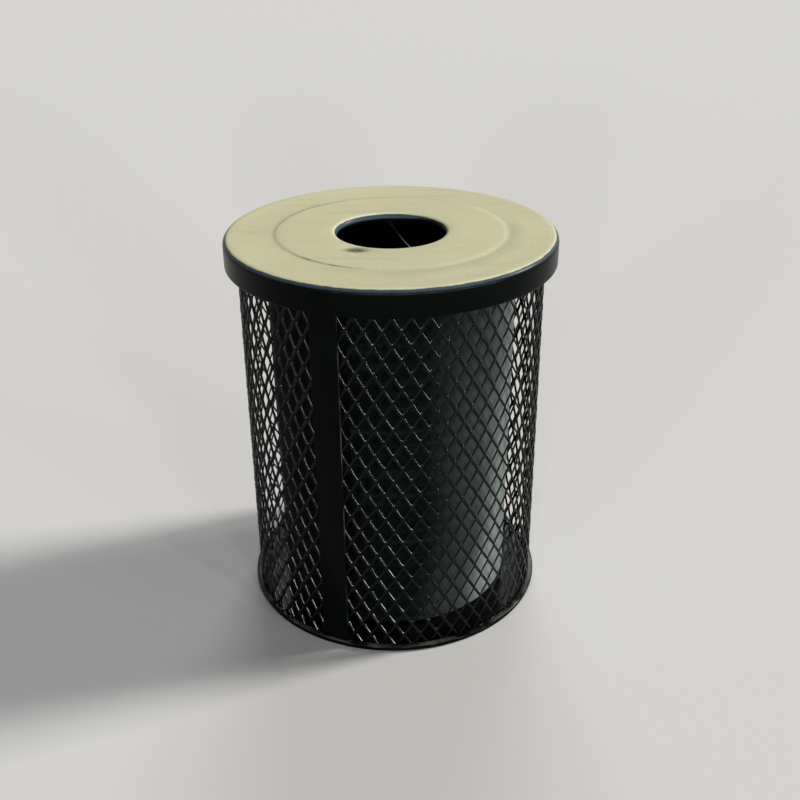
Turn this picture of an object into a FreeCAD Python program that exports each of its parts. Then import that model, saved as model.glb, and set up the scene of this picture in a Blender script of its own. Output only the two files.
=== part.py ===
"""Round outdoor litter bin: an expanded-metal basket, a lift-out liner and a flat lid.

The lid has a round opening in its middle, and a loop of wire rope under it. The origin is on the
ground at the middle of the basket, +Z is up and the front is -Y.
"""
import FreeCAD, Part
import math
import os

V = FreeCAD.Vector
UP = V(0, 0, 1)
ORIGIN = V(0, 0, 0)

# Basket, millimetres and degrees
basket_radius = 326.0           # outside of the mesh wall
basket_height = 846.0           # top edge of the top ring above the ground
mesh_foot = 3.0                 # lower edge of the mesh above the ground
mesh_head_drop = 3.0            # upper edge of the mesh below the top of the ring
strand_thickness = 4.5          # through the coated strand, along the radius
strand_width = 6.5              # across the coated strand, on the face of the wall
cell_height = 59.5              # nominal height of one diamond, bond to bond
cells_per_panel = 4
panel_count = 14
weld_gap = 0.3                  # coat left between two pieces that are welded together

# Rings and strap of the basket
top_ring_height = 40.0
top_ring_thickness = 5.0
top_ring_edge = 1.5             # rounding of the bar's edges
bottom_ring_height = 12.0
bottom_ring_width = 11.0
bottom_ring_edge = 4.0
strap_width = 60.0
strap_thickness = 5.0
strap_edge = 1.8
strap_azimuth = -23.5           # from the front, to the left

# Sheet floor of the basket
floor_underside = 8.0
floor_thickness = 3.0
anchor_hole_diameter = 14.0
anchor_circle_diameter = 460.0
anchor_hole_count = 4
drain_hole_diameter = 26.0
drain_circle_diameter = 270.0
drain_hole_count = 4

# Lift-out liner
liner_play = 44.0               # between the rim and the inside of the mesh
liner_taper = 6.0               # how much narrower the foot's radius is than the neck's
liner_headroom = 35.0           # between the rim and the underside of the lid
liner_wall = 4.0
liner_floor = 5.0
liner_corner = 18.0             # rounding between wall and floor, outside
liner_rim_width = 10.0          # how far the rim stands out from the neck
liner_rim_drop = 16.0           # depth of the turned-down rim
liner_seat_gap = 0.2            # between the liner and the sheet floor

# Lid
lid_overhang = 26.5             # outside of the skirt beyond the outside of the mesh
lid_sheet = 2.0
lid_seat_gap = 0.2              # between the lid and the top ring
skirt_height = 57.0             # lid top to the lower edge of the hem
lid_edge_radius = 12.0          # outside of the rolled edge
hem_radius = 2.6                # curled lower edge of the skirt
plateau_radius = 238.0
plateau_rise = 2.0
plateau_slope = 12.0            # width of the slope around the plateau
opening_radius = 114.3
opening_lip_radius = 12.0       # outside of the roll at the opening
opening_lip_depth = 18.0        # plateau top to the lower edge of the lip

# Locating tabs under the lid
locator_count = 4
locator_azimuth = 45.0
locator_width = 34.0
locator_thickness = 3.0
locator_depth = 26.0
locator_play = 3.0              # between a tab and the inside of the mesh

# Cable loop under the lid
cable_diameter = 5.0
lug_width = 20.0
lug_depth = 20.0
lug_thickness = 3.0
lug_corner = 7.0
lug_hole_diameter = 8.0
lug_hole_drop = 12.0            # underside of the lid to the middle of the hole
eye_radius = 9.0                # middle of the wire of the crimped eye
eye_wire_diameter = 3.2
eye_play = 0.4                  # between the eye and the lug's hole
sleeve_diameter = 9.0
sleeve_length = 22.0
rear_lug_azimuth = 184.9        # from the front, right positive
rear_lug_offset = 43.7          # middle of the lug outside the opening
front_lug_azimuth = 41.9
front_lug_inset = 38.0          # middle of the lug inside the edge of the plateau
cable_end_slope = 24.0          # degrees below level where the cable leaves its sleeves
cable_stations = (0.0, 0.12, 0.27, 0.43, 0.58, 0.74, 0.88, 1.0)    # points along the loop's span
bend_share = 0.45               # part of the shorter run that each bend of the cable takes up

same_size = 0.01                # two lengths that differ by less count as one

# Sizes worked out from those above
cells_around = cells_per_panel * panel_count
half_cell_angle = math.pi / cells_around
mesh_inner_radius = basket_radius - strand_thickness
mesh_clear_radius = mesh_inner_radius * math.cos(half_cell_angle / 2)
mesh_top = basket_height - mesh_head_drop
cell_rows = round((mesh_top - mesh_foot) / cell_height)
cell_pitch = (mesh_top - mesh_foot) / cell_rows
floor_top = floor_underside + floor_thickness
lid_radius = basket_radius + lid_overhang
lid_underside = basket_height + lid_seat_gap
liner_bottom = floor_top + liner_seat_gap
liner_height = lid_underside - liner_headroom - liner_bottom
liner_neck_radius = mesh_clear_radius - liner_play - liner_rim_width
liner_foot_radius = liner_neck_radius - liner_taper
lid_top = lid_underside + lid_sheet
plateau_top = lid_top + plateau_rise
plateau_underside = lid_underside + plateau_rise


def around(radius, azimuth):
    """A point on the ground plan, at an azimuth from the front, right positive."""
    turn = math.radians(azimuth)
    return V(radius * math.sin(turn), -radius * math.cos(turn), 0)


cable_rear_lug = around(opening_radius + rear_lug_offset, rear_lug_azimuth)
cable_front_lug = around(plateau_radius - front_lug_inset, front_lug_azimuth)


def front_turned(shape, azimuth):
    """A copy of a shape made at the front, turned to an azimuth from the front, right positive."""
    turned = shape.copy()
    turned.rotate(ORIGIN, UP, azimuth)
    return turned


def band(inner_radius, outer_radius, low, high):
    outer = Part.makeCylinder(outer_radius, high - low, V(0, 0, low))
    inner = Part.makeCylinder(inner_radius, high - low, V(0, 0, low))
    return outer.cut(inner)


def revolved(edges):
    """Turn a closed outline in the XZ plane once around the axis."""
    outline = Part.Wire(Part.__sortEdges__(edges))
    return Part.Face(outline).revolve(ORIGIN, UP, 360)


def line(start, end):
    return Part.LineSegment(start, end).toShape()


def arc(centre, radius, start_angle, end_angle):
    """An arc in the XZ plane, between two angles in degrees from +X towards +Z."""
    points = []
    for angle in (start_angle, (start_angle + end_angle) / 2, end_angle):
        turn = math.radians(angle)
        points.append(V(centre.x + radius * math.cos(turn), 0, centre.z + radius * math.sin(turn)))
    return Part.Arc(*points).toShape()


class MeshPanel:
    """One sector of the diamond mesh: flat-faced strands between straight upright lines of bonds.

    Column 0 is at the panel's left edge. Bonds on even columns start at the lower edge of the sheet,
    those on odd columns half a cell higher. A diamond is open along the radius of its own column.
    """

    def __init__(self):
        self.columns = 2 * cells_per_panel
        self.half_width = 2 * basket_radius * math.sin(half_cell_angle / 2)
        half_pitch = cell_pitch / 2
        slope = math.atan2(half_pitch, self.half_width)
        self.half_bond = strand_width / math.cos(slope) / 2
        self.reach = self.half_width * (1 - self.half_bond / half_pitch)

    def radial(self, column):
        angle = (column - self.columns / 2) * half_cell_angle
        return V(math.sin(angle), -math.cos(angle), 0)

    def on_column(self, column, height, inside):
        radius = mesh_inner_radius if inside else basket_radius
        return self.radial(column) * radius + UP * height

    def corner(self, column, side, height, inside):
        """The side corner of a diamond: from its own column towards the next (+1) or the last (-1)."""
        start = self.on_column(column, height, False)
        along = self.on_column(column + side, height, False) - start
        point = start + along * (self.reach / along.Length)
        return point - self.radial(column) * strand_thickness if inside else point

    def diamonds(self, column):
        """Middle heights of the openings on a column; odd columns also have a half one at each end."""
        first = 0.5 if column % 2 == 0 else 0.0
        count = cell_rows if column % 2 == 0 else cell_rows + 1
        return [mesh_foot + (first + row) * cell_pitch for row in range(count)]

    def sides(self, column):
        """The directions from a column that lie within the panel."""
        return [side for side in (-1, 1) if 0 <= column + side <= self.columns]

    def strip(self, left, inside):
        """The zigzag face between two columns."""
        even, odd = (left, left + 1) if left % 2 == 0 else (left + 1, left)
        toward = odd - even
        points = [self.on_column(even, mesh_foot, inside)]
        for middle in self.diamonds(even):
            half_opening = cell_pitch / 2 - self.half_bond
            points.append(self.on_column(even, middle - half_opening, inside))
            points.append(self.corner(even, toward, middle, inside))
            points.append(self.on_column(even, middle + half_opening, inside))
        points.append(self.on_column(even, mesh_top, inside))
        for middle in reversed(self.diamonds(odd)):
            half_opening = cell_pitch / 2 - self.half_bond
            if middle < mesh_top - half_opening:
                points.append(self.on_column(odd, middle + half_opening, inside))
            points.append(self.corner(odd, -toward, middle, inside))
            if middle > mesh_foot + half_opening:
                points.append(self.on_column(odd, middle - half_opening, inside))
        return points

    def opening_walls(self, column):
        """The faces through the sheet around each opening of a column."""
        walls = []
        half_opening = cell_pitch / 2 - self.half_bond
        for middle in self.diamonds(column):
            for side in self.sides(column):
                for end in (middle - half_opening, middle + half_opening):
                    if end < mesh_foot or end > mesh_top:
                        continue
                    walls.append([self.on_column(column, end, False),
                                  self.corner(column, side, middle, False),
                                  self.corner(column, side, middle, True),
                                  self.on_column(column, end, True)])
        return walls

    def sheared_ends(self, column):
        """The level faces at the lower and upper edge, around an even column."""
        ends = []
        for height in (mesh_foot, mesh_top):
            outside = []
            inside = []
            for side in (-1, 0, 1):
                if side == 0:
                    outside.append(self.on_column(column, height, False))
                    inside.append(self.on_column(column, height, True))
                elif side in self.sides(column):
                    outside.append(self.corner(column + side, -side, height, False))
                    inside.append(self.corner(column + side, -side, height, True))
            ends.append(outside + inside[::-1])
        return ends

    def bond_sections(self, column):
        """The cut through each bond on an edge column of the panel."""
        sections = []
        for row in range(cell_rows + 1):
            middle = mesh_foot + row * cell_pitch
            low = max(mesh_foot, middle - self.half_bond)
            high = min(mesh_top, middle + self.half_bond)
            sections.append([self.on_column(column, low, False), self.on_column(column, high, False),
                             self.on_column(column, high, True), self.on_column(column, low, True)])
        return sections

    def solid(self):
        outlines = []
        for left in range(self.columns):
            outlines.append(self.strip(left, False))
            outlines.append(self.strip(left, True))
        for column in range(self.columns + 1):
            outlines.extend(self.opening_walls(column))
            if column % 2 == 0:
                outlines.extend(self.sheared_ends(column))
        for column in (0, self.columns):
            outlines.extend(self.bond_sections(column))
        faces = [Part.Face(Part.makePolygon(points + points[:1])) for points in outlines]
        shell = Part.makeShell(faces)
        shell.sewShape()
        panel = Part.makeSolid(shell)
        if panel.Volume < 0:
            panel.reverse()
        return panel


def mesh_panels():
    """The wall as equal sectors, the first one at the front."""
    first = MeshPanel().solid()
    return [front_turned(first, index * 360.0 / panel_count) for index in range(panel_count)]


def rounded_edges(shape, radius, wanted):
    """Round the edges for which wanted(edge) holds."""
    return shape.makeFillet(radius, [edge for edge in shape.Edges if wanted(edge)])


def is_circle(edge):
    return isinstance(edge.Curve, Part.Circle)


def top_ring():
    inner = basket_radius + weld_gap
    ring = band(inner, inner + top_ring_thickness, basket_height - top_ring_height, basket_height)
    return rounded_edges(ring, top_ring_edge, is_circle)


def bottom_ring():
    """A bar rolled round the foot of the mesh, with a flat underside and a well rounded outer edge."""
    inner = basket_radius + weld_gap
    outer = inner + bottom_ring_width
    ring = band(inner, outer, 0, bottom_ring_height)

    def is_outer_edge(edge):
        return is_circle(edge) and edge.Curve.Radius > outer - same_size

    return rounded_edges(ring, bottom_ring_edge, is_outer_edge)


def seam_strap():
    """The flat bar over the seam of the rolled mesh, between the two rings."""
    low = bottom_ring_height + weld_gap
    high = basket_height - top_ring_height - weld_gap
    face = basket_radius + weld_gap
    lower_corner = V(-strap_width / 2, -face - strap_thickness, low)
    bar = Part.makeBox(strap_width, strap_thickness, high - low, lower_corner)

    def is_upright(edge):
        return abs(edge.BoundBox.ZLength - (high - low)) < same_size

    return front_turned(rounded_edges(bar, strap_edge, is_upright), strap_azimuth)


def floor_sheet():
    """The round sheet that closes the foot, with drain holes and holes for ground anchors."""
    sheet = Part.makeCylinder(mesh_clear_radius - weld_gap, floor_thickness, V(0, 0, floor_underside))
    rings = ((anchor_hole_diameter, anchor_circle_diameter, anchor_hole_count, 0.0),
             (drain_hole_diameter, drain_circle_diameter, drain_hole_count, 0.5))
    for hole_diameter, circle_diameter, count, offset in rings:
        for index in range(count):
            angle = 2 * math.pi * (index + offset) / count
            place = V(math.cos(angle), math.sin(angle), 0) * (circle_diameter / 2) + UP * floor_underside
            sheet = sheet.cut(Part.makeCylinder(hole_diameter / 2, floor_thickness, place))
    return sheet


def liner():
    """A tapered plastic bin with a rounded foot and a turned-down rim."""
    low = liner_bottom
    high = low + liner_height
    foot = liner_foot_radius
    neck = liner_neck_radius
    rim = neck + liner_rim_width
    lean = math.atan2(neck - foot, liner_height)
    roll = liner_wall / 2
    inner_corner = liner_corner - liner_wall

    def wall_radius(height):
        return foot + (neck - foot) * (height - low) / liner_height

    outside_centre = V(foot - liner_corner, 0, low + liner_corner)
    inside_centre = V(foot - liner_wall - inner_corner, 0, low + liner_floor + inner_corner)
    lean_degrees = math.degrees(lean)
    outside_corner = arc(outside_centre, liner_corner, -90, -lean_degrees)
    inside_corner = arc(inside_centre, inner_corner, -90, -lean_degrees)
    outside_start = outside_corner.Vertexes[-1].Point
    inside_start = inside_corner.Vertexes[-1].Point
    rim_low = high - liner_rim_drop
    under_rim = high - liner_wall
    throat = V(wall_radius(under_rim), 0, under_rim)
    mouth = V(neck - liner_wall, 0, high - roll)
    edges = [
        line(V(0, 0, low), V(outside_centre.x, 0, low)),
        outside_corner,
        line(outside_start, throat),
        line(throat, V(rim - liner_wall, 0, under_rim)),
        line(V(rim - liner_wall, 0, under_rim), V(rim - liner_wall, 0, rim_low)),
        line(V(rim - liner_wall, 0, rim_low), V(rim, 0, rim_low)),
        line(V(rim, 0, rim_low), V(rim, 0, high - roll)),
        arc(V(rim - roll, 0, high - roll), roll, 0, 90),
        line(V(rim - roll, 0, high), V(mouth.x + roll, 0, high)),
        arc(V(mouth.x + roll, 0, high - roll), roll, 90, 180),
        line(mouth, inside_start),
        inside_corner,
        line(V(inside_centre.x, 0, low + liner_floor), V(0, 0, low + liner_floor)),
        line(V(0, 0, low + liner_floor), V(0, 0, low)),
    ]
    return revolved(edges)


def lid_pan():
    """The spun sheet lid: plateau, rolled edge, skirt with a curled hem, and a lip at the opening."""
    sheet = lid_sheet
    lip = opening_lip_radius
    edge = lid_edge_radius
    slope_end = plateau_radius + plateau_slope
    lip_low = plateau_top - opening_lip_depth
    skirt_inside = lid_radius - sheet
    hem_centre = V(lid_radius - hem_radius, 0, lid_top - skirt_height + hem_radius)
    hem_top = hem_centre.z + math.sqrt(hem_radius ** 2 - (hem_radius - sheet) ** 2)
    hem_angle = math.degrees(math.atan2(hem_top - hem_centre.z, skirt_inside - hem_centre.x))
    lip_centre = V(opening_radius + lip, 0, plateau_top - lip)
    edge_centre = V(lid_radius - edge, 0, lid_top - edge)
    edges = [
        line(V(opening_radius, 0, lip_low), V(opening_radius, 0, lip_centre.z)),
        arc(lip_centre, lip, 180, 90),
        line(V(lip_centre.x, 0, plateau_top), V(plateau_radius, 0, plateau_top)),
        line(V(plateau_radius, 0, plateau_top), V(slope_end, 0, lid_top)),
        line(V(slope_end, 0, lid_top), V(edge_centre.x, 0, lid_top)),
        arc(edge_centre, edge, 90, 0),
        line(V(lid_radius, 0, edge_centre.z), V(lid_radius, 0, hem_centre.z)),
        arc(hem_centre, hem_radius, 0, hem_angle - 360),
        line(V(skirt_inside, 0, hem_top), V(skirt_inside, 0, edge_centre.z)),
        arc(edge_centre, edge - sheet, 0, 90),
        line(V(edge_centre.x, 0, lid_underside), V(slope_end, 0, lid_underside)),
        line(V(slope_end, 0, lid_underside), V(plateau_radius, 0, plateau_underside)),
        line(V(plateau_radius, 0, plateau_underside), V(lip_centre.x, 0, plateau_underside)),
        arc(lip_centre, lip - sheet, 90, 180),
        line(V(opening_radius + sheet, 0, lip_centre.z), V(opening_radius + sheet, 0, lip_low)),
        line(V(opening_radius + sheet, 0, lip_low), V(opening_radius, 0, lip_low)),
    ]
    return revolved(edges)


def lid_locators():
    """Tabs welded under the lid that keep it centred inside the mouth of the basket."""
    outer_corner = mesh_clear_radius - locator_play
    face = math.sqrt(outer_corner ** 2 - (locator_width / 2) ** 2)
    low = lid_underside - locator_depth
    lower_corner = V(-locator_width / 2, -face, low)
    tab = Part.makeBox(locator_width, locator_thickness, locator_depth, lower_corner)
    turns = [locator_azimuth + index * 360.0 / locator_count for index in range(locator_count)]
    return Part.makeCompound([front_turned(tab, azimuth) for azimuth in turns])


def cable_direction():
    return (cable_front_lug - cable_rear_lug).normalize()


def cable_lug(place):
    """A tab with a hole and rounded corners, welded under the plateau along the line of the cable."""
    lower_corner = V(-lug_width / 2, -lug_thickness / 2, -lug_depth)
    tab = Part.makeBox(lug_width, lug_thickness, lug_depth, lower_corner)
    tab = rounded_edges(tab, lug_corner, is_lower_corner)
    hole_start = V(0, -lug_thickness, -lug_hole_drop)
    tab = tab.cut(Part.makeCylinder(lug_hole_diameter / 2, 2 * lug_thickness, hole_start, V(0, 1, 0)))
    along = cable_direction()
    tab.rotate(ORIGIN, UP, math.degrees(math.atan2(along.y, along.x)))
    tab.translate(V(place.x, place.y, plateau_underside))
    return tab


def is_lower_corner(edge):
    """Whether an edge of a lug runs across it at its lower end."""
    box = edge.BoundBox
    return abs(box.ZMax + lug_depth) < same_size and abs(box.YLength - lug_thickness) < same_size


def leaving_direction(forward):
    """The direction in which the cable leaves its sleeve; forward is level, towards the other lug."""
    slope = math.radians(cable_end_slope)
    return forward * math.cos(slope) - UP * math.sin(slope)


def eye_middle(place, forward):
    """Middle of a crimped eye that is drawn against the edge of the lug's hole."""
    hole_middle = V(place.x, place.y, plateau_underside - lug_hole_drop)
    wire_offset = lug_hole_diameter / 2 - eye_wire_diameter / 2 - eye_play
    return hole_middle + leaving_direction(forward) * (wire_offset + eye_radius)


def sleeve_mouth(place, forward):
    """Where the cable comes out of its sleeve."""
    return eye_middle(place, forward) + leaving_direction(forward) * (eye_radius + sleeve_length)


def cable_end(place, forward):
    """A wire eye through the lug, with its crimped sleeve."""
    middle = eye_middle(place, forward)
    direction = leaving_direction(forward)
    across = direction.cross(UP).normalize()
    eye = Part.makeTorus(eye_radius, eye_wire_diameter / 2, middle, direction.cross(across))
    sleeve_start = middle + direction * eye_radius
    sleeve = Part.makeCylinder(sleeve_diameter / 2, sleeve_length, sleeve_start, direction)
    return eye.fuse(sleeve).removeSplitter()


def cable_route():
    """Points of the hanging loop, from the rear sleeve to the front one."""
    forward = cable_direction()
    start = sleeve_mouth(cable_rear_lug, forward)
    end = sleeve_mouth(cable_front_lug, forward * -1)
    span = (end - start).Length
    end_fall = span * math.tan(math.radians(cable_end_slope))
    points = []
    for station in cable_stations:
        sag = end_fall * station * (1 - station)
        points.append(start + (end - start) * station - UP * sag)
    return points


def rounded_path(points):
    """Straight runs joined by tangent arcs, each as large as its two runs allow."""
    edges = []
    radii = []
    last = points[0]
    for before, here, after in zip(points, points[1:], points[2:]):
        arriving = (here - before).normalize()
        leaving = (after - here).normalize()
        turn = arriving.getAngle(leaving)
        setback = bend_share * min((here - before).Length, (after - here).Length)
        radius = setback / math.tan(turn / 2)
        radii.append(radius)
        begin = here - arriving * setback
        finish = here + leaving * setback
        inward = (leaving - arriving).normalize()
        centre = here + inward * (radius / math.cos(turn / 2))
        edges.append(Part.LineSegment(last, begin).toShape())
        edges.append(Part.Arc(begin, centre - inward * radius, finish).toShape())
        last = finish
    edges.append(Part.LineSegment(last, points[-1]).toShape())
    return Part.Wire(edges), radii


def lid_cable():
    """The coated wire rope between the two sleeves."""
    points = cable_route()
    path, radii = rounded_path(points)
    section = Part.Wire(Part.makeCircle(cable_diameter / 2, points[0], points[1] - points[0]))
    tube = path.makePipeShell([section], True, False)
    print("cable length %.1f, least bend %.1f" % (path.Length, min(radii)))
    print("cable volume %.1f, section times length %.1f"
          % (tube.Volume, math.pi * cable_diameter ** 2 / 4 * path.Length))
    print("cable points", [tuple(round(value, 1) for value in point) for point in points])
    return tube


def export(name, shape):
    if not shape.isValid():
        print("not valid:", name)
    shape.exportStep("parts/%s.step" % name)


def main():
    os.makedirs("parts", exist_ok=True)
    for index, panel in enumerate(mesh_panels()):
        export("mesh_panel_%02d" % (index + 1), panel)
    export("top_ring", top_ring())
    export("bottom_ring", bottom_ring())
    export("seam_strap", seam_strap())
    export("floor_sheet", floor_sheet())
    export("liner", liner())
    export("lid_pan", lid_pan())
    export("lid_locators", lid_locators())
    forward = cable_direction()
    export("cable_lug_rear", cable_lug(cable_rear_lug))
    export("cable_lug_front", cable_lug(cable_front_lug))
    export("cable_end_rear", cable_end(cable_rear_lug, forward))
    export("cable_end_front", cable_end(cable_front_lug, forward * -1))
    export("lid_cable", lid_cable())


main()
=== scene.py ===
"""Looks of a round outdoor litter bin: coated diamond mesh, spun lid, plastic liner and wire rope.

Metres, +Z up, the front towards -Y. Azimuths are in degrees from the front, right positive.
"""

import math

import bmesh
import bpy
from mathutils import Matrix, Vector


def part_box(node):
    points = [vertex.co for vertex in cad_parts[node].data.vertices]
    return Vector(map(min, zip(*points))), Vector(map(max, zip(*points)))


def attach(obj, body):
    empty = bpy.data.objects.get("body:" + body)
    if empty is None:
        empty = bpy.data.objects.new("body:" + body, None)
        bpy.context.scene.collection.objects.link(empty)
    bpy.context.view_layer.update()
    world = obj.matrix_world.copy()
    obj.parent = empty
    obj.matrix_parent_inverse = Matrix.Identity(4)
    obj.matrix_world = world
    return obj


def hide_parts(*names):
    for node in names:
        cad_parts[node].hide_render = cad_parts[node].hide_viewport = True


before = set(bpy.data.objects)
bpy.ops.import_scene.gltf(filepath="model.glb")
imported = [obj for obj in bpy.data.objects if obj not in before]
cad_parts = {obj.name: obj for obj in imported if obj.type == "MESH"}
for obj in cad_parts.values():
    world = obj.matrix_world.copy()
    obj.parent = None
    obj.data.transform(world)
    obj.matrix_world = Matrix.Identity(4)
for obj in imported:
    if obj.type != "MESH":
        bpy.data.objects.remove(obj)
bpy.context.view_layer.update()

# Camera, at the photograph's viewing angle
camera_place = (0.0, -2.1292, 1.5303)
camera_lens = 47.13                 # millimetres, on a sensor 36 mm wide
camera_pitch = 26.99                # degrees down
camera_yaw = -0.43
camera_roll = 0.52

# Wire rope under the lid: points of its route and its diameter
cable_points = (
    (0.0031, 0.1228, 0.8191),
    (0.0168, 0.0944, 0.8068),
    (0.0339, 0.0588, 0.7960),
    (0.0521, 0.0209, 0.7904),
    (0.0691, -0.0147, 0.7906),
    (0.0874, -0.0526, 0.7966),
    (0.1033, -0.0858, 0.8068),
    (0.1170, -0.1143, 0.8191),
)
cable_diameter = 0.005

# Diamond mesh
panel_count = 14
cells_around = 56
cell_rows = 14
strand_width = 0.0065
strand_thickness = 0.0045
strand_flat = 0.60                  # share of the strand's section that its rounded edges leave flat
strand_turn = 0.0022                # how far the sheared strands are turned towards the right
crotch_fill = 1.10                  # coat gathered where two strands meet
fillet_share = 0.14                 # part of a strand's length that its gathered ends take up

# Rings and strap
weld_gap = 0.0003
bottom_ring_edge = 0.0040
strap_width = 0.060
strap_thickness = 0.005
strap_edge = 0.0018
strap_azimuth = -23.5

# Lid
lid_sheet = 0.002
lid_edge_radius = 0.012
hem_radius = 0.0026
hem_curl = 320.0                    # degrees that the hem is rolled through
hem_gap = 0.002                     # between the end of the hem and the inside of the skirt
plateau_radius = 0.238
plateau_rise = 0.002
plateau_slope = 0.012
opening_radius = 0.1143
lip_radius = 0.012
lip_depth = 0.018

# Small faults of the lid's sheet
dent_radius = 0.146                 # shallow dent beside the opening
dent_azimuth = -27.0
dent_depth = 0.0022
dent_length = 0.034
dent_width = 0.013
mouth_sag = 0.0008                  # how far the sheet sinks around the opening
mouth_width = 0.019
broad_wave = 0.00035                # height of the broad waves around the lid, and of the finer ones
broad_wave_count = 2
broad_wave_phase = 0.6
fine_wave = 0.0002
fine_wave_count = 5
fine_wave_phase = 2.1
fine_wave_swirl = 9.0               # radians by which the finer waves turn per metre of radius
wave_reach = 0.335                  # radius where the waves have died out
wave_margin = 0.03                  # width over which they die out

# Liner
liner_wall = 0.004
liner_floor = 0.005
liner_corner = 0.018
liner_taper = 0.006
liner_rim_width = 0.010
liner_rim_drop = 0.016

# Mesh density
lid_segments = 240
liner_segments = 160
ring_segments = 240
slope_steps = 6
crisp_edge = 40.0                   # degrees between two faces above which their edge stays crisp
crisp_strand = 75.0

# Places of the colours on a mix node
mix_first = 6
mix_second = 7
mix_result = 2


def highest(node):
    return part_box(node)[1].z


def lowest(node):
    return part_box(node)[0].z


def outer_radius(node):
    """Radius of a round node that stands on the axis."""
    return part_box(node)[1].x


wall_outer = -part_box("mesh_panel_01")[0].y
wall_middle = wall_outer - strand_thickness / 2


def around(radius, azimuth, height):
    turn = math.radians(azimuth)
    return Vector((radius * math.sin(turn), -radius * math.cos(turn), height))


def smooth_step(value):
    value = min(max(value, 0.0), 1.0)
    return value * value * (3 - 2 * value)


def placed(name, data):
    """An object for a mesh, curve, lamp or camera, in the scene."""
    piece = bpy.data.objects.new(name, data)
    bpy.context.scene.collection.objects.link(piece)
    return piece


def smooth_object(name, mesh, shell, crisp_angle=crisp_edge):
    """An object whose mesh is a shell, smooth-shaded apart from its crisp edges."""
    shell.to_mesh(mesh)
    shell.free()
    mesh.shade_smooth()
    mesh.set_sharp_from_angle(angle=math.radians(crisp_angle))
    return placed(name, mesh)


def made_object(name, vertices, faces, crisp_angle=crisp_edge):
    """A smooth object from vertices and faces, with outward normals."""
    mesh = bpy.data.meshes.new(name)
    mesh.from_pydata(vertices, [], faces)
    shell = bmesh.new()
    shell.from_mesh(mesh)
    bmesh.ops.recalc_face_normals(shell, faces=shell.faces)
    return smooth_object(name, mesh, shell, crisp_angle)


def arc(centre, radius, start, end, steps):
    """Points of an arc in the (radius, height) plane, angles in degrees from outwards towards up."""
    points = []
    for step in range(steps + 1):
        turn = math.radians(start + (end - start) * step / steps)
        points.append((centre[0] + radius * math.cos(turn), centre[1] + radius * math.sin(turn)))
    return points


def run(start, end, steps):
    """Points between two ends of a straight stretch, without the ends."""
    shares = [step / steps for step in range(1, steps)]
    return [(start[0] + (end[0] - start[0]) * s, start[1] + (end[1] - start[1]) * s) for s in shares]


def spun(name, outline, segments):
    """A solid of revolution from an outline in the (radius, height) plane.

    An outline that starts on the axis also ends there; any other is a closed ring.
    """
    on_axis = outline[0][0] == 0
    vertices = []
    rings = []
    for radius, height in outline:
        if radius == 0:
            rings.append([len(vertices)] * segments)
            vertices.append((0, 0, height))
            continue
        rings.append(list(range(len(vertices), len(vertices) + segments)))
        vertices.extend(around(radius, 360.0 * step / segments, height) for step in range(segments))
    pairs = list(zip(rings, rings[1:]))
    if not on_axis:
        pairs.append((rings[-1], rings[0]))
    faces = []
    for lower, upper in pairs:
        for step in range(segments):
            following = (step + 1) % segments
            corners = (lower[step], lower[following], upper[following], upper[step])
            faces.append(tuple(dict.fromkeys(corners)))
    return made_object(name, vertices, faces)


class NodeTree:
    """Adds nodes to the tree of a material or of the world."""

    def __init__(self, tree):
        self.nodes = tree.nodes
        self.links = tree.links

    def feed(self, socket, source):
        if isinstance(source, bpy.types.NodeSocket):
            self.links.new(source, socket)
        else:
            socket.default_value = source

    def joined(self, kind, first, *others):
        """Values taken together one after another, such as their sum or product."""
        for other in others:
            node = self.nodes.new("ShaderNodeMath")
            node.operation = kind
            self.feed(node.inputs[0], first)
            self.feed(node.inputs[1], other)
            first = node.outputs["Value"]
        return first

    def colours(self, share, first, second):
        node = self.nodes.new("ShaderNodeMix")
        node.data_type = "RGBA"
        self.feed(node.inputs["Factor"], share)
        self.feed(node.inputs[mix_first], first)
        self.feed(node.inputs[mix_second], second)
        return node.outputs[mix_result]

    def pale_where_seen(self, cast, pale):
        """A pale colour where the stage is seen, straight or mirrored; another for the light it casts."""
        path = self.nodes.new("ShaderNodeLightPath").outputs
        rays = ("Is Camera Ray", "Is Glossy Ray", "Is Transmission Ray")
        seen = self.joined("MAXIMUM", *(path[ray] for ray in rays))
        return self.colours(seen, cast, pale)


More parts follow.
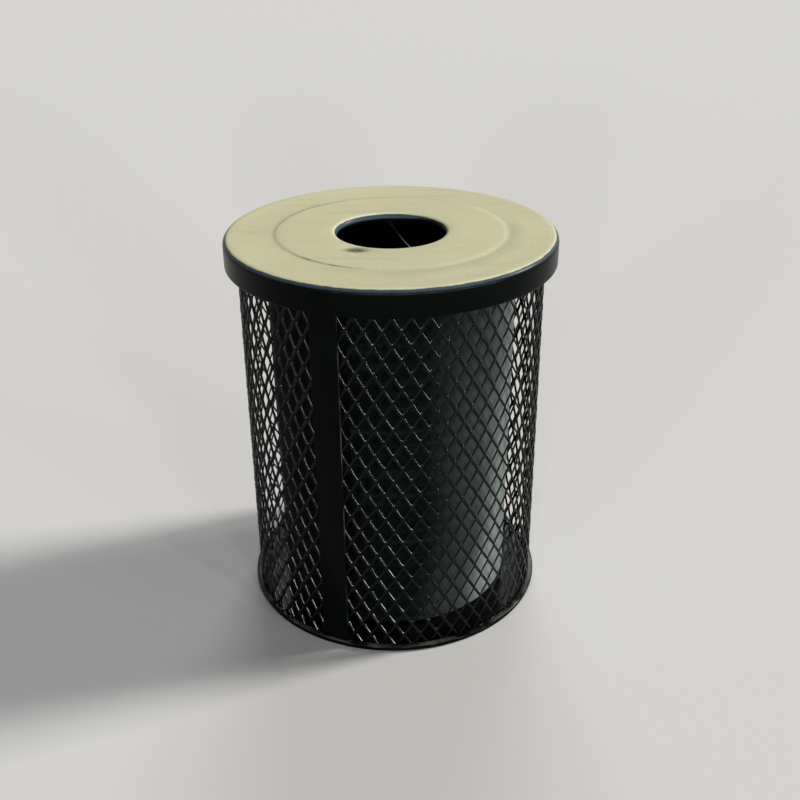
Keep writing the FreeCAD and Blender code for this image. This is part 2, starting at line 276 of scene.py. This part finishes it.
class Finish(NodeTree):
    """A procedural material around one principled shader."""

    def __init__(self, name, **settings):
        self.material = bpy.data.materials.new(name)
        self.material.use_nodes = True
        super().__init__(self.material.node_tree)
        self.shader = self.nodes["Principled BSDF"]
        self.place = self.nodes.new("ShaderNodeTexCoord").outputs["Object"]
        self.normal = self.nodes.new("ShaderNodeNewGeometry").outputs["Normal"]
        for socket, value in settings.items():
            self.shader.inputs[socket.replace("_", " ")].default_value = value

    def stretched(self, stretch, shift=(0, 0, 0)):
        """The object's coordinates, scaled along each axis and then shifted."""
        node = self.nodes.new("ShaderNodeMapping")
        self.feed(node.inputs["Vector"], self.place)
        node.inputs["Location"].default_value = shift
        node.inputs["Scale"].default_value = stretch
        return node.outputs["Vector"]

    def noise(self, scale, detail=3.0, stretch=(1, 1, 1), distortion=0.0):
        node = self.nodes.new("ShaderNodeTexNoise")
        self.feed(node.inputs["Vector"], self.stretched(stretch))
        node.inputs["Scale"].default_value = scale
        node.inputs["Detail"].default_value = detail
        node.inputs["Distortion"].default_value = distortion
        return node.outputs["Fac"]

    def ranged(self, value, span, to=(0.0, 1.0)):
        """A value brought smoothly from one range to another, and held within it."""
        node = self.nodes.new("ShaderNodeMapRange")
        node.interpolation_type = "SMOOTHSTEP"
        self.feed(node.inputs["Value"], value)
        low, high = span
        to_low, to_high = to
        node.inputs["From Min"].default_value = low
        node.inputs["From Max"].default_value = high
        node.inputs["To Min"].default_value = to_low
        node.inputs["To Max"].default_value = to_high
        return node.outputs["Result"]

    def patches(self, scale, detail, span=(0.3, 0.7), to=(0.0, 1.0), **form):
        """Cloudy patches, as many to the metre as the scale says."""
        return self.ranged(self.noise(scale, detail, **form), span, to)

    def vector_math(self, kind, *vectors):
        node = self.nodes.new("ShaderNodeVectorMath")
        node.operation = kind
        for socket, vector in zip(node.inputs, vectors):
            self.feed(socket, vector)
        return node.outputs

    def outwards(self):
        """The vector from the upright axis."""
        return self.stretched((1, 1, 0))

    def radius(self):
        """Distance from the upright axis."""
        return self.vector_math("LENGTH", self.outwards())["Value"]

    def upright(self, vector):
        """The part of a vector that points up."""
        node = self.nodes.new("ShaderNodeSeparateXYZ")
        self.feed(node.inputs["Vector"], vector)
        return node.outputs["Z"]

    def nearness(self, centre, reach, stretch=(1, 1, 1)):
        """One at a place on the object, falling to nothing at a distance from it."""
        offset = self.stretched(stretch, [-c * s for c, s in zip(centre, stretch)])
        return self.ranged(self.vector_math("LENGTH", offset)["Value"], (0.0, reach), to=(1.0, 0.0))

    def turned_to(self, azimuth):
        """One on the side that lies towards an azimuth, nothing a quarter turn away from it."""
        level = self.vector_math("NORMALIZE", self.outwards())["Vector"]
        return self.vector_math("DOT_PRODUCT", level, around(1.0, azimuth, 0.0))["Value"]

    def bump(self, height, distance, strength):
        node = self.nodes.new("ShaderNodeBump")
        node.inputs["Strength"].default_value = strength
        node.inputs["Distance"].default_value = distance
        self.feed(node.inputs["Height"], height)
        self.feed(self.shader.inputs["Normal"], node.outputs["Normal"])

    def base_colour(self, source):
        self.feed(self.shader.inputs["Base Color"], source)

    def roughness(self, source):
        self.feed(self.shader.inputs["Roughness"], source)


# Black plastisol coat
black_coat = (0.0003, 0.0008, 0.0005, 1)
worn_coat = (0.0008, 0.0016, 0.0011, 1)
# pale dust, also the colour of the painted highlights on the strap's edge and the foot ring's top
pale_dust_and_highlight = (0.15, 0.155, 0.135, 1)
coat_gloss = 0.045
strand_gloss = 0.12
coat_roughness = (0.11, 0.15)
mottle_span = (0.35, 0.7)
dust_slope = (0.55, 0.98)           # how far up a face looks where dust begins to lie, and lies fully
edge_highlight_span = (0.93, 0.99)            # shares of half the strap's width between which the painted highlight on its right edge rises
edge_highlight_share = 0.3                    # how pale the painted highlight gets


def painted_strap_highlight(finish):
    """A painted highlight: the broken pale line along the right edge of the strap."""
    across = finish.turned_to(strap_azimuth + 90)
    edge = strap_width / 2 / wall_outer
    line = finish.ranged(across, [share * edge for share in edge_highlight_span])
    broken = finish.patches(scale=7.0, detail=3.0, span=(0.42, 0.62), stretch=(0.0, 0.0, 1.0))
    return finish.ranged(finish.joined("MULTIPLY", line, broken), (0.0, 1.0), to=(0.0, edge_highlight_share))


def coat_finish(name, gloss, dust_and_highlight, peel, painted_edge=None):
    """Black plastisol: faint mottling, orange peel, and dust on what looks up, which on the foot ring is
    heavy enough to be partly a painted highlight; optionally a painted highlight along an edge.
    """
    finish = Finish(name, Specular_IOR_Level=gloss)
    mottle = finish.patches(scale=9.0, detail=5.0, span=mottle_span)
    coat = finish.colours(mottle, black_coat, worn_coat)
    lying = finish.ranged(finish.upright(finish.normal), dust_slope)
    dust_and_highlight_patches = finish.patches(scale=26.0, detail=4.0, span=(0.3, 0.75), to=(0.0, dust_and_highlight))
    pale = finish.joined("MULTIPLY", lying, dust_and_highlight_patches)
    if painted_edge:
        pale = finish.joined("MAXIMUM", pale, painted_edge(finish))
    finish.base_colour(finish.colours(pale, coat, pale_dust_and_highlight))
    finish.roughness(finish.patches(scale=14.0, detail=4.0, to=coat_roughness))
    finish.bump(finish.noise(scale=420.0, detail=2.0), distance=0.0004, strength=peel)
    return finish.material


# Film on the lid, partly dust and partly a painted reflection of the sky's glare on the top
film_pale = (0.58, 0.555, 0.355, 1)
film_deep = (0.545, 0.52, 0.33, 1)
# streaks, also the colour of the painted shade along the plateau's foot
film_streak_and_shade = (0.43, 0.415, 0.28, 1)
# painted shade, in the dent and in the crease
film_shade = (0.085, 0.088, 0.066, 1)
lid_roughness = (0.28, 0.55)        # of the bare coat and of the film
film_slope = (0.82, 0.95)           # how far up a face looks where the film begins, and covers it fully
# painted reflection of the sky on the rolled edges
painted_sky_reflection = (0.042, 0.058, 0.066, 1)
reflection_slope = (0.32, 0.70)
reflection_azimuth = -130.0               # side of the opening whose roll carries the painted reflection
mouth_span = (0.15, 0.24)           # radii between which the opening's own weathering dies out
mouth_shelter = 0.08                # how much further the film reaches into the roll of the opening
mouth_reflection = 0.26                   # how much further the painted reflection reaches into it
crease_shade_places = ((-36.0, 0.13), (-135.0, 0.17), (153.0, 0.07))      # azimuth and reach of the stretches darkened with painted shade
crease_width = 0.0042
foot_shade_azimuth = 42.0                 # middle of the painted shade at the foot of the plateau
foot_shade_edge = 0.005
foot_shade_width = 0.045
dent_shade_reach = 0.052
dent_shade_stretch = (1.0, 1.7, 1.0)


def painted_crease_shade(finish):
    """Painted shade in the crease at the foot of the plateau, along a few stretches of it."""
    crease = plateau_radius + plateau_slope / 2
    outside = finish.joined("SUBTRACT", finish.radius(), crease)
    inside = finish.joined("SUBTRACT", crease, finish.radius())
    offset = finish.joined("MAXIMUM", outside, inside)
    line = finish.ranged(offset, (0.0, crease_width), to=(1.0, 0.0))
    places = []
    for azimuth, reach in crease_shade_places:
        places.append(finish.nearness(around(crease, azimuth, highest("lid_pan")), reach))
    broken = finish.patches(scale=22.0, detail=4.0, span=(0.32, 0.62), to=(0.5, 1.0))
    return finish.joined("MULTIPLY", line, finish.joined("MAXIMUM", *places), broken)


def painted_foot_shade(finish):
    """Painted shade along the outer foot of the plateau, on its front and right."""
    slope_end = plateau_radius + plateau_slope
    outside = finish.ranged(finish.radius(), (plateau_radius, plateau_radius + foot_shade_edge))
    fading = finish.ranged(finish.radius(), (slope_end, slope_end + foot_shade_width), to=(1.0, 0.0))
    front = finish.ranged(finish.turned_to(foot_shade_azimuth), (0.1, 0.7))
    broken = finish.patches(scale=8.0, detail=4.0, to=(0.35, 0.8))
    return finish.joined("MULTIPLY", outside, fading, front, broken)


def dent_shade(finish):
    """Painted shade in the dent beside the opening: a soft dark smudge."""
    middle = around(dent_radius, dent_azimuth, highest("lid_pan"))
    near = finish.nearness(middle, dent_shade_reach, dent_shade_stretch)
    broken = finish.patches(scale=30.0, detail=4.0, to=(0.55, 1.0))
    return finish.ranged(finish.joined("MULTIPLY", near, broken), (0.08, 0.80))


def lid_film_and_glare(finish):
    """The film's colour, partly dust and partly painted glare: broad shades, streaks, and painted shade
    along the plateau's foot, in its crease and in the dent.
    """
    broad = finish.patches(scale=3.2, detail=4.0, span=(0.32, 0.68),
                           stretch=(1.0, 1.6, 1.0), distortion=0.4)
    streaks = finish.patches(scale=5.0, detail=6.0, span=(0.55, 0.78), to=(0.0, 0.5),
                             stretch=(1.0, 7.0, 1.0), distortion=0.2)
    film = finish.colours(broad, film_deep, film_pale)
    film = finish.colours(streaks, film, film_streak_and_shade)
    film = finish.colours(painted_foot_shade(finish), film, film_streak_and_shade)
    dark = finish.joined("MAXIMUM", dent_shade(finish), painted_crease_shade(finish))
    return finish.colours(dark, film, film_shade)


def lid_edges(finish, lying):
    """The black coat's colour, with a painted reflection of the sky on the rolled edge and on the left and
    rear of the opening's roll.
    """
    mottle = finish.patches(scale=7.0, detail=5.0, span=mottle_span)
    coat = finish.colours(mottle, black_coat, worn_coat)
    rolled_in = finish.ranged(finish.radius(), mouth_span, to=(mouth_reflection, 0.0))
    left_and_rear = finish.ranged(finish.turned_to(reflection_azimuth), (-0.5, 0.6), to=(-1.6, 1.0))
    reflecting = finish.joined("ADD", lying, finish.joined("MULTIPLY", rolled_in, left_and_rear))
    return finish.colours(finish.ranged(reflecting, reflection_slope), coat, painted_sky_reflection)


def lid_finish():
    """Black coat whose top carries a pale, dusty film, down into the roll of the opening; its paleness is
    partly a painted reflection of the sky's glare.
    """
    finish = Finish("lid_coat", Specular_IOR_Level=coat_gloss)
    ragged = finish.patches(scale=60.0, detail=4.0, to=(-0.02, 0.02))
    sheltered = finish.ranged(finish.radius(), mouth_span, to=(mouth_shelter, 0.0))
    lying = finish.joined("ADD", finish.upright(finish.normal), ragged, sheltered)
    grain = finish.patches(scale=160.0, detail=3.0, to=(0.93, 1.0))
    cover = finish.joined("MULTIPLY", finish.ranged(lying, film_slope), grain)
    finish.base_colour(finish.colours(cover, lid_edges(finish, lying), lid_film_and_glare(finish)))
    finish.roughness(finish.ranged(cover, (0.0, 1.0), to=lid_roughness))
    finish.bump(finish.noise(scale=300.0, detail=2.0), distance=0.0003, strength=0.08)
    return finish.material


# Polyethylene of the liner
liner_grey = (0.002, 0.0032, 0.0030, 1)
liner_scuffed = (0.006, 0.0085, 0.0078, 1)
# painted sunlight on the liner's right side
liner_sunlit = (0.22, 0.245, 0.23, 1)
# painted shade: the liner's inner faces and the rope's rear end
painted_shade_dark = (0.004, 0.004, 0.004, 1)
liner_gloss = 0.03
liner_roughness = (0.66, 0.84)
sunlit_azimuth = 82.0
sunlit_foot_heights = (0.02, 0.24)       # between which the painted sunlight's widening towards the foot dies out
sunlit_foot_share = 0.18


def painted_liner_sunlight(finish):
    """Painted sunlight on the liner: a little on its right half, strongly on its right, and further round
    near the foot.
    """
    uneven = finish.patches(scale=5.0, detail=5.0, to=(-0.05, 0.05), stretch=(1.0, 1.0, 0.4))
    # the painted sunlight reaches further round near the foot
    wider_at_foot = finish.ranged(finish.upright(finish.place), sunlit_foot_heights, to=(sunlit_foot_share, 0.0))
    sunny = finish.joined("ADD", finish.turned_to(sunlit_azimuth), uneven, wider_at_foot)
    dim_sunlight = finish.ranged(sunny, (0.38, 0.88), to=(0.0, 0.15))
    bright_sunlight = finish.ranged(sunny, (0.80, 1.02), to=(0.0, 0.62))
    return finish.joined("ADD", dim_sunlight, bright_sunlight)


def liner_finish():
    """Dark grey polyethylene, scuffed, with painted sunlight on its right side and painted shade on its
    inner faces.
    """
    finish = Finish("liner_plastic", Specular_IOR_Level=liner_gloss)
    scuffs = finish.patches(scale=6.0, detail=6.0, span=(0.50, 0.72),
                            stretch=(1.0, 1.0, 9.0), distortion=0.3)
    outside = finish.colours(scuffs, liner_grey, liner_scuffed)
    outside = finish.colours(painted_liner_sunlight(finish), outside, liner_sunlit)
    facing_out = finish.vector_math("DOT_PRODUCT", finish.outwards(), finish.normal)["Value"]
    # painted shade on the inner faces
    inside = finish.ranged(facing_out, (-0.02, 0.02), to=(1.0, 0.0))
    finish.base_colour(finish.colours(inside, outside, painted_shade_dark))
    finish.roughness(finish.patches(scale=11.0, detail=4.0, to=liner_roughness))
    finish.bump(finish.noise(scale=240.0, detail=2.0), distance=0.0003, strength=0.15)
    return finish.material


# Wire rope and its crimped eyes
rope_dark = (0.20, 0.205, 0.21, 1)
rope_bright = (0.54, 0.55, 0.56, 1)
rope_gloss = 0.12
rope_roughness = (0.28, 0.42)
rope_shade_reach = 0.085                  # length of the rope's rear end that carries painted shade
rope_shade_share = 0.985
crimp_dark = (0.04, 0.04, 0.042, 1)
crimp_bright = (0.10, 0.10, 0.103, 1)
crimp_roughness = (0.36, 0.55)


def cable_finish():
    """Clear-grey vinyl over wire rope, the lay of the strands showing through, with painted shade on its
    rear end.
    """
    finish = Finish("cable_coat", Specular_IOR_Level=rope_gloss)
    lay = finish.noise(scale=320.0, detail=2.0, stretch=(1.0, 1.0, 2.2))
    clean = finish.colours(lay, rope_dark, rope_bright)
    shaded_rear = finish.ranged(finish.nearness(cable_points[0], rope_shade_reach), (0.20, 0.71), to=(0.0, rope_shade_share))
    finish.base_colour(finish.colours(shaded_rear, clean, painted_shade_dark))
    finish.roughness(finish.patches(scale=90.0, detail=3.0, to=rope_roughness))
    finish.bump(lay, distance=0.0004, strength=0.4)
    return finish.material


def crimp_finish():
    """Dull aluminium with press marks."""
    finish = Finish("crimp_metal", Metallic=1.0)
    marks = finish.noise(scale=160.0, detail=4.0)
    finish.base_colour(finish.colours(marks, crimp_dark, crimp_bright))
    finish.roughness(finish.ranged(marks, (0.3, 0.7), to=crimp_roughness))
    finish.bump(marks, distance=0.0005, strength=0.3)
    return finish.material


class Net:
    """The diamond mesh, strand by strand, with rounded strands and coat gathered where they meet."""

    corners = {"top": (0, 1), "right": (1, 0), "bottom": (0, -1), "left": (-1, 0)}
    sides = (("top", "right"), ("right", "bottom"), ("bottom", "left"), ("left", "top"))

    def __init__(self):
        self.foot = lowest("mesh_panel_01")
        self.columns = 2 * cells_around
        self.levels = 2 * cell_rows
        self.half_pitch = (highest("mesh_panel_01") - self.foot) / self.levels
        self.half_width = 2 * math.pi * wall_middle / self.columns
        slope = math.atan2(self.half_pitch, self.half_width)
        self.bond_height = strand_width / math.cos(slope) / 2
        self.bond_width = self.half_width * self.bond_height / self.half_pitch
        self.vertices = []
        self.faces = []
        self.bonds = {}

    def point(self, column, level, across, up, depth):
        """A vertex beside a bond: across and up in bond sizes, depth from the middle of the sheet."""
        angle = math.pi * 2 * column / self.columns + across * self.bond_width / wall_middle
        radius = wall_middle + depth - across * strand_turn
        height = self.foot + level * self.half_pitch + up * self.bond_height
        self.vertices.append((radius * math.sin(angle), -radius * math.cos(angle), height))
        return len(self.vertices) - 1

    def corner(self, column, level, across, up):
        """A bond's corner as its front, middle and back vertices."""
        edge = strand_flat * strand_thickness / 2
        inset = strand_flat * crotch_fill
        return (self.point(column, level, across * inset, up * inset, edge),
                self.point(column, level, across * crotch_fill, up * crotch_fill, 0.0),
                self.point(column, level, across * inset, up * inset, -edge))

    def bond(self, column, level):
        """The joint of four strands; at the sheared edges of the sheet, of two."""
        half = strand_thickness / 2
        parts = {}
        cut = {0: "bottom", self.levels: "top"}.get(level)
        for name, (across, up) in self.corners.items():
            parts[name] = self.corner(column, level, across, 0 if name == cut else up)
        for first, second in self.sides:
            across = (self.corners[first][0] + self.corners[second][0]) / 2
            up = (self.corners[first][1] + self.corners[second][1]) / 2
            if cut not in (first, second):
                parts[first + second] = (self.point(column, level, across, up, half),
                                         self.point(column, level, across, up, -half))
        self.bonds[column, level] = parts
        if cut:
            self.cut_bond(parts, cut)
        else:
            self.whole_bond(column, level, parts)

    def whole_bond(self, column, level, parts):
        """The two faces of a bond, each in four parts around its middle."""
        half = strand_thickness / 2
        centres = (self.point(column, level, 0, 0, half), self.point(column, level, 0, 0, -half))
        for (before, name), (_, after) in zip(self.sides, self.sides[1:] + self.sides[:1]):
            for face, centre in enumerate(centres):
                self.faces.append((centre, parts[before + name][face], parts[name][-face],
                                   parts[name + after][face]))

    def cut_bond(self, parts, cut):
        """The half bond at an edge of the sheet, with its sheared face."""
        tip = "top" if cut == "bottom" else "bottom"
        for side in ("left", "right"):
            middle = next(parts[a + b] for a, b in self.sides if {a, b} == {tip, side})
            for face in (0, 1):
                self.faces.append((parts[cut][-face], parts[side][-face], middle[face], parts[tip][-face]))
            for layer in (0, 1):
                self.faces.append((parts[cut][layer], parts[side][layer],
                                   parts[side][layer + 1], parts[cut][layer + 1]))

    def ring(self, bond, first, second):
        """The vertices around a strand where it leaves a bond, between two of its corners."""
        parts = self.bonds[bond]
        middle = parts.get(first + second) or parts[second + first]
        front, *edge = parts[first]
        return (front, middle[0], *parts[second], middle[1], *reversed(edge))

    def between(self, start, end, share):
        """A copy of a strand's section, part of the way along it."""
        ring = []
        for one, two in zip(start, end):
            point = Vector(self.vertices[one]).lerp(Vector(self.vertices[two]), share)
            self.vertices.append(tuple(point))
            ring.append(len(self.vertices) - 1)
        return self.straightened(ring)

    def straightened(self, ring):
        """Takes the gathered coat off a section away from the bonds."""
        front, back = ring[1], ring[len(ring) // 2 + 1]
        middle = (Vector(self.vertices[front]) + Vector(self.vertices[back])) / 2
        for vertex in ring:
            if vertex not in (front, back):
                point = Vector(self.vertices[vertex])
                self.vertices[vertex] = tuple(middle + (point - middle) / crotch_fill)
        return ring

    def strand(self, start, end):
        """The faces of one strand, from bond to bond."""
        shares = (fillet_share, 1 - fillet_share)
        stations = [start, *(self.between(start, end, share) for share in shares), end]
        for one, two in zip(stations, stations[1:]):
            for index in range(len(start)):
                following = (index + 1) % len(start)
                self.faces.append((one[index], one[following], two[following], two[index]))

    def piece(self):
        for level in range(self.levels + 1):
            for column in range(level % 2, self.columns, 2):
                self.bond(column, level)
        for column, level in list(self.bonds):
            if level == self.levels:
                continue
            right = ((column + 1) % self.columns, level + 1)
            left = ((column - 1) % self.columns, level + 1)
            self.strand(self.ring((column, level), "top", "right"), self.ring(right, "left", "bottom"))
            self.strand(self.ring((column, level), "left", "top"), self.ring(left, "bottom", "right"))
        return made_object("mesh_wall", self.vertices, self.faces, crisp_strand)


def rounded_bar(name, width, thickness, length, edge):
    """A flat bar standing on its end, with coated, rounded edges."""
    shell = bmesh.new()
    bmesh.ops.create_cube(shell, size=1.0)
    bmesh.ops.scale(shell, vec=(width, thickness, length), verts=shell.verts)
    bmesh.ops.bevel(shell, geom=shell.edges[:], offset=edge, segments=5, profile=0.5, affect="EDGES")
    return smooth_object(name, bpy.data.meshes.new(name), shell)


def seam_strap():
    """The bar over the seam of the mesh."""
    low, high = lowest("seam_strap"), highest("seam_strap")
    strap = rounded_bar("strap", strap_width, strap_thickness, high - low, strap_edge)
    middle = wall_outer + weld_gap + strap_thickness / 2
    place = Matrix.Translation((0, -middle, (low + high) / 2))
    strap.data.transform(Matrix.Rotation(math.radians(strap_azimuth), 4, "Z") @ place)
    return strap


def bottom_ring():
    """The round-edged bar at the foot."""
    inner = wall_outer + weld_gap
    outer = outer_radius("bottom_ring")
    low, high = lowest("bottom_ring"), highest("bottom_ring")
    edge = bottom_ring_edge
    outline = [(inner, low), *run((inner, low), (outer - edge, low), steps=3)]
    outline += arc((outer - edge, low + edge), edge, -90, 0, steps=8)
    outline += arc((outer - edge, high - edge), edge, 0, 90, steps=8)
    outline += [*run((outer - edge, high), (inner, high), steps=3), (inner, high)]
    return spun("foot_ring", outline, ring_segments)


def wave(height, count, turn, phase):
    """How far equal waves around the lid lower its sheet at one place."""
    return height * (1 + math.sin(count * turn + phase))


def lid_fall(radius, azimuth):
    """How far the sheet of the lid lies below its true form: slight hand-made waves and one dent."""
    turn = math.radians(azimuth)
    inner_fade = smooth_step((radius - opening_radius) / wave_margin)
    outer_fade = smooth_step((wave_reach - radius) / wave_margin)
    waves = wave(broad_wave, broad_wave_count, turn, broad_wave_phase)
    waves += wave(fine_wave, fine_wave_count, turn, fine_wave_phase + fine_wave_swirl * radius)
    along = radius * math.radians(azimuth - dent_azimuth)
    dent = math.exp(-(along / dent_length) ** 2 - ((radius - dent_radius) / dent_width) ** 2)
    return inner_fade * outer_fade * waves + dent_depth * dent


def mouth_fall(radius):
    """How far the lip and the sheet beside it have sunk."""
    return mouth_sag * smooth_step((opening_radius + lip_radius + mouth_width - radius) / mouth_width)


def lid_face(top, outer, depth, lip_steps, edge_steps):
    """A line through the lid's sheet at a depth, from the roll of the opening to the rolled edge."""
    high = top - depth
    shoulder = high - plateau_rise
    lip_centre = (opening_radius + lip_radius, top - lip_radius)
    edge_centre = (outer - lid_edge_radius, top - plateau_rise - lid_edge_radius)
    face = arc(lip_centre, lip_radius - depth, 180, 90, lip_steps)
    face += run((lip_centre[0], high), (plateau_radius, high), steps=12)
    for step in range(slope_steps + 1):
        share = step / slope_steps
        face.append((plateau_radius + plateau_slope * share, high - plateau_rise * smooth_step(share)))
    face += run((plateau_radius + plateau_slope, shoulder), (edge_centre[0], shoulder), steps=9)
    return face + arc(edge_centre, lid_edge_radius - depth, 90, 0, edge_steps)


def lid_outline(top, low, outer):
    """Around the lid's sheet: from the lip over the top to the hem, and back underneath."""
    over = lid_face(top, outer, 0.0, lip_steps=8, edge_steps=10)
    under = lid_face(top, outer, lid_sheet, lip_steps=6, edge_steps=8)[::-1]
    hem = arc((outer - hem_radius, low + hem_radius), hem_radius, 0, -hem_curl, steps=18)
    inside_foot = (outer - lid_sheet, hem[-1][1] + hem_gap)
    lip_edge = lid_sheet / 2
    lip_low = (opening_radius + lip_edge, top - lip_depth + lip_edge)
    outline = [*over, *run(over[-1], hem[0], steps=5), *hem]
    outline += [inside_foot, *run(inside_foot, under[0], steps=4), *under]
    return outline + arc(lip_low, lip_edge, 0, -180, steps=6)


def lid():
    """The spun lid, with the small faults of its sheet."""
    top = highest("lid_pan")
    piece = spun("lid", lid_outline(top, lowest("lid_pan"), outer_radius("lid_pan")), lid_segments)
    flat_top = top - plateau_rise - lid_sheet * 2
    for vertex in piece.data.vertices:
        radius = math.hypot(vertex.co.x, vertex.co.y)
        azimuth = math.degrees(math.atan2(vertex.co.x, -vertex.co.y))
        if vertex.co.z > flat_top:
            vertex.co.z -= lid_fall(radius, azimuth)
        vertex.co.z -= mouth_fall(radius)
    return piece


def liner():
    """The slightly tapered bin with its turned-down rim."""
    low, high = lowest("liner"), highest("liner")
    rim = outer_radius("liner")
    neck = rim - liner_rim_width
    foot = neck - liner_taper
    lean = math.degrees(math.atan2(liner_taper, high - low))
    roll = liner_wall / 2
    inner_corner = liner_corner - liner_wall
    inner_centre = (foot - liner_wall - inner_corner, low + liner_floor + inner_corner)
    outside = arc((foot - liner_corner, low + liner_corner), liner_corner, -90, -lean, steps=8)
    inside = arc(inner_centre, inner_corner, -lean, -90, steps=8)
    throat = (neck - liner_taper * liner_wall / (high - low), high - liner_wall)
    outline = [(0, low), *run((0, low), outside[0], steps=8), *outside]
    outline += [*run(outside[-1], throat, steps=24), throat, (rim - liner_wall, high - liner_wall)]
    outline += arc((rim - roll, high - liner_rim_drop + roll), roll, 180, 360, steps=8)
    outline += arc((rim - roll, high - roll), roll, 0, 90, steps=6)
    outline += arc((neck - roll, high - roll), roll, 90, 180, steps=6)
    outline += run((neck - liner_wall, high - roll), inside[0], steps=24)
    floor_middle = (0, low + liner_floor)
    outline += [*inside, *run(inside[-1], floor_middle, steps=8), floor_middle]
    return spun("bin_liner", outline, liner_segments)


def wire_rope():
    """The rope that hangs under the lid."""
    curve = bpy.data.curves.new("wire_rope", "CURVE")
    curve.dimensions = "3D"
    curve.bevel_depth = cable_diameter / 2
    curve.bevel_resolution = 6
    curve.resolution_u = 16
    curve.use_fill_caps = True
    spline = curve.splines.new("NURBS")
    spline.points.add(len(cable_points) - 1)
    for point, place in zip(spline.points, cable_points):
        point.co = (*place, 1)
    spline.order_u = 3
    spline.use_endpoint_u = True
    return placed("wire_rope", curve)


def dress(piece, material):
    piece.data.materials.clear()
    piece.data.materials.append(material)


def fit(piece, body, slot, material, *nodes):
    """Finishes a piece and lets it stand for CAD nodes of a body."""
    dress(piece, material)
    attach(piece, body)
    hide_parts(*nodes)


def build_object():
    mesh_coat = coat_finish("mesh_coat", strand_gloss, dust_and_highlight=0.015, peel=0.05)
    bar_coat = coat_finish("bar_coat", coat_gloss, dust_and_highlight=0.05, peel=0.09)
    # the strap's coat carries a painted highlight along its right edge
    strap_coat = coat_finish("strap_coat", coat_gloss, dust_and_highlight=0.05, peel=0.09, painted_edge=painted_strap_highlight)
    # dust on the ring's top edge, heavy enough that it is partly a painted highlight
    ring_coat = coat_finish("ring_coat", coat_gloss, dust_and_highlight=0.60, peel=0.09)
    lid_coat = lid_finish()
    crimp_metal = crimp_finish()
    panels = ["mesh_panel_%02d" % (index + 1) for index in range(panel_count)]
    fit(Net().piece(), "basket", "mesh_coat", mesh_coat, *panels)
    fit(seam_strap(), "basket", "bar_coat", strap_coat, "seam_strap")
    fit(bottom_ring(), "basket", "bar_coat", ring_coat, "bottom_ring")
    fit(liner(), "liner", "liner_plastic", liner_finish(), "liner")
    fit(lid(), "lid", "lid_coat", lid_coat, "lid_pan")
    rope = wire_rope()
    fit(rope, "lid", "cable_coat", cable_finish(), "lid_cable")
    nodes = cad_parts
    for name in ("top_ring", "floor_sheet"):
        dress(nodes[name], bar_coat)
    for name in ("lid_locators", "cable_lug_rear", "cable_lug_front"):
        dress(nodes[name], lid_coat)
    for name in ("cable_end_rear", "cable_end_front"):
        dress(nodes[name], crimp_metal)


def place_camera():
    pitch, yaw, roll = (math.radians(angle) for angle in (camera_pitch, camera_yaw, camera_roll))
    right = Vector((math.cos(yaw), math.sin(yaw), 0))
    forward = Vector((-math.cos(pitch) * math.sin(yaw), math.cos(pitch) * math.cos(yaw), -math.sin(pitch)))
    turn = Matrix((right, right.cross(forward), -forward)).transposed() @ Matrix.Rotation(-roll, 3, "Z")
    lens = bpy.data.cameras.new("camera")
    lens.lens = camera_lens
    camera = placed("camera", lens)
    camera.matrix_world = Matrix.Translation(camera_place) @ turn.to_4x4()
    bpy.context.scene.camera = camera


# Stage: colours where it is seen, and colours of the light that it casts
floor_pale = (0.66, 0.655, 0.64, 1)
floor_cast = (0.06, 0.06, 0.058, 1)
floor_radius = 14.0
floor_roughness = 0.9
floor_gloss = 0.1
sky_pale = (0.62, 0.64, 0.655, 1)
sky_cast = (0.035, 0.037, 0.039, 1)


def studio_floor():
    mesh = bpy.data.meshes.new("floor")
    shell = bmesh.new()
    bmesh.ops.create_circle(shell, cap_ends=True, radius=floor_radius, segments=96)
    shell.to_mesh(mesh)
    shell.free()
    floor = placed("floor", mesh)
    finish = Finish("floor", Roughness=floor_roughness, Specular_IOR_Level=floor_gloss)
    finish.base_colour(finish.pale_where_seen(floor_cast, floor_pale))
    dress(floor, finish.material)


def studio_sky():
    world = bpy.data.worlds.new("studio")
    bpy.context.scene.world = world
    world.use_nodes = True
    tree = NodeTree(world.node_tree)
    tree.feed(tree.nodes["Background"].inputs["Color"], tree.pale_where_seen(sky_cast, sky_pale))


# Lamps
warm_white = (1.0, 0.97, 0.92)
cool_white = (0.97, 0.99, 1.0)
sky_white = (0.96, 0.98, 1.0)
glint_spread = 5.0
glints = (                          # weak lamps that glance off the strands: azimuth, elevation and level
    (67.0, 3.0, 0.30),
    (47.0, 6.0, 0.30),
    (27.0, 8.0, 0.30),
    (7.0, 9.0, 0.30),
    (-13.0, 9.0, 0.28),
    (-33.0, 8.0, 0.10),
)


def soft_light(name, azimuth, elevation, spread, level, colour):
    """A distant lamp, as wide as its spread; level is what a white face turned to it would show."""
    lamp = bpy.data.lights.new(name, "SUN")
    lamp.angle = math.radians(spread)
    lamp.energy = level * math.pi
    lamp.color = colour
    rise = math.radians(elevation)
    away = around(math.cos(rise), azimuth, math.sin(rise))
    placed(name, lamp).rotation_euler = away.to_track_quat("Z", "Y").to_euler()


def studio_light():
    soft_light("key", azimuth=106.0, elevation=29.0, spread=12.0, level=1.13, colour=warm_white)
    for index, (azimuth, elevation, level) in enumerate(glints):
        soft_light("glint_%d" % index, azimuth, elevation, glint_spread, level, cool_white)
    soft_light("back", azimuth=176.0, elevation=44.0, spread=25.0, level=0.33, colour=sky_white)


place_camera()
build_object()
studio_floor()
studio_sky()
studio_light()
bpy.context.scene.view_settings.view_transform = "Standard"
